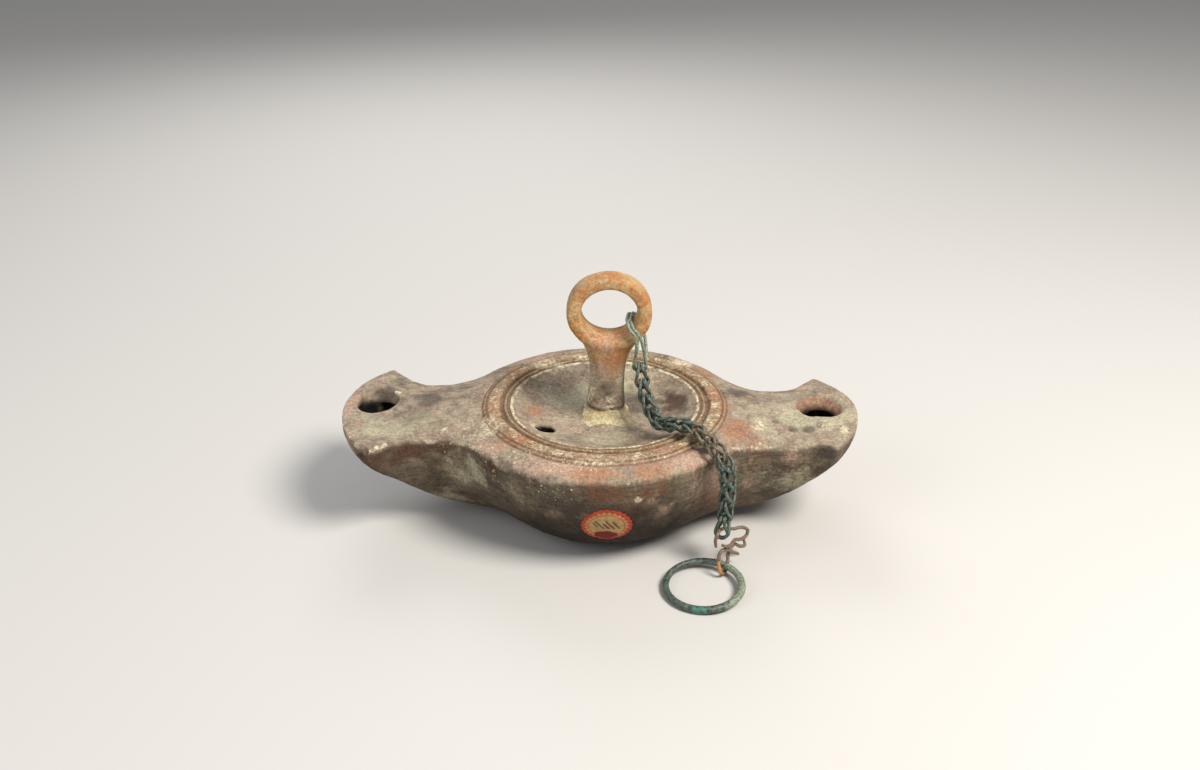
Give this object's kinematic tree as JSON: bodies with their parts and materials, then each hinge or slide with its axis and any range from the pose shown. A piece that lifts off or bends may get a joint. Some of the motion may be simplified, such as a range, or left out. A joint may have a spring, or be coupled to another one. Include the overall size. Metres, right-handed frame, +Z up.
{
  "type": "roman oil lamp",
  "caption": "Fired-clay hanging oil lamp with a sunken disc, opposed flared nozzles, a stalk with a ring handle, and a bronze chain of folded links ending in a loose ring.",
  "frame": {"origin": "centre of the flat base, on the surface the lamp stands on", "axes": "+X towards the wider-set right nozzle, +Y away from the side the chain hangs on, +Z up"},
  "size_m": [0.202, 0.1324, 0.099],
  "materials": {
    "fired_clay": "matt buff to grey-brown clay with red patches and pale limy crust",
    "corroded_bronze": "green and brown corroded bronze wire",
    "paper_label": "aged printed paper"
  },
  "bodies": {
    "root": {"lamp_body": "fired_clay", "suspension_loop": "corroded_bronze", "chain_link_01": "corroded_bronze", "chain_link_02": "corroded_bronze", "chain_link_03": "corroded_bronze", "chain_link_04": "corroded_bronze", "chain_link_05": "corroded_bronze", "chain_link_06": "corroded_bronze", "chain_link_07": "corroded_bronze", "chain_link_08": "corroded_bronze", "chain_link_09": "corroded_bronze", "chain_link_10": "corroded_bronze", "chain_link_11": "corroded_bronze", "chain_link_12": "corroded_bronze", "chain_link_13": "corroded_bronze", "chain_link_14": "corroded_bronze", "bent_link": "corroded_bronze", "ring_hook": "corroded_bronze", "finger_ring": "corroded_bronze"}
  },
  "joints": []
}
